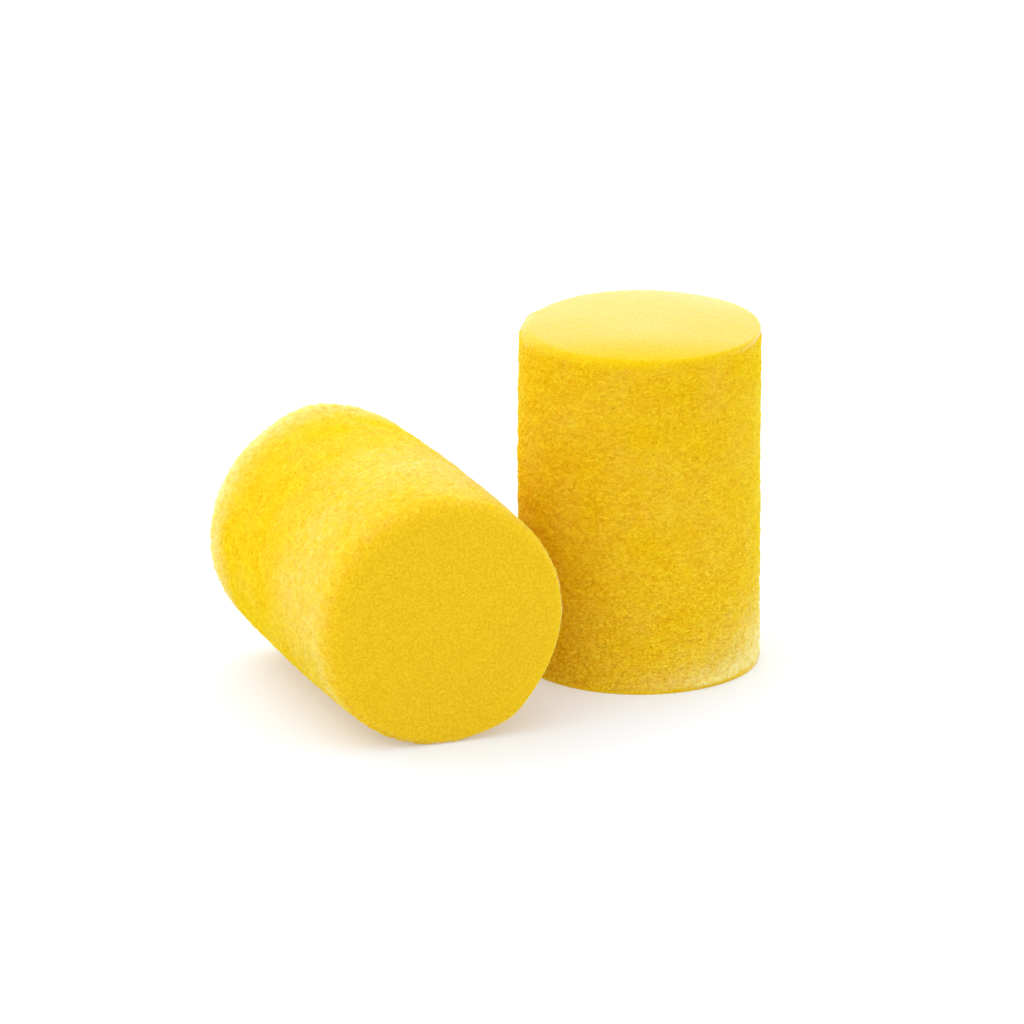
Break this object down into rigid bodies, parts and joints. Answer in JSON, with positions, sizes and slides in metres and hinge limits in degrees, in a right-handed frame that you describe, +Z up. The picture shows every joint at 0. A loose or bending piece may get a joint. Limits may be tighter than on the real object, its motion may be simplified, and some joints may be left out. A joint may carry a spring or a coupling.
{
  "type": "foam ear plugs",
  "caption": "Soft foam ear plugs shaped as short round cylinders with flat ends and slightly rounded rims, one standing on end and the other lying on its side.",
  "frame": {"origin": "middle of the bottom of the pair's bounding box, on the surface that both plugs rest on", "axes": "+Z up, along the standing plug's axis; +X to the right across the pair, from the lying plug to the standing one; the lying plug's near end face looks towards -Y"},
  "size_m": [0.031, 0.0242, 0.0195],
  "materials": {
    "foam": "matte"
  },
  "bodies": {
    "standing_plug": {"ear_plug_standing": "foam"},
    "lying_plug": {"ear_plug_lying": "foam"}
  },
  "joints": [
    {"name": "lying_plug_lift", "type": "slide", "parent": "standing_plug", "child": "lying_plug", "axis": [0, 0, 1], "range_m": [0, 0.04]}
  ]
}
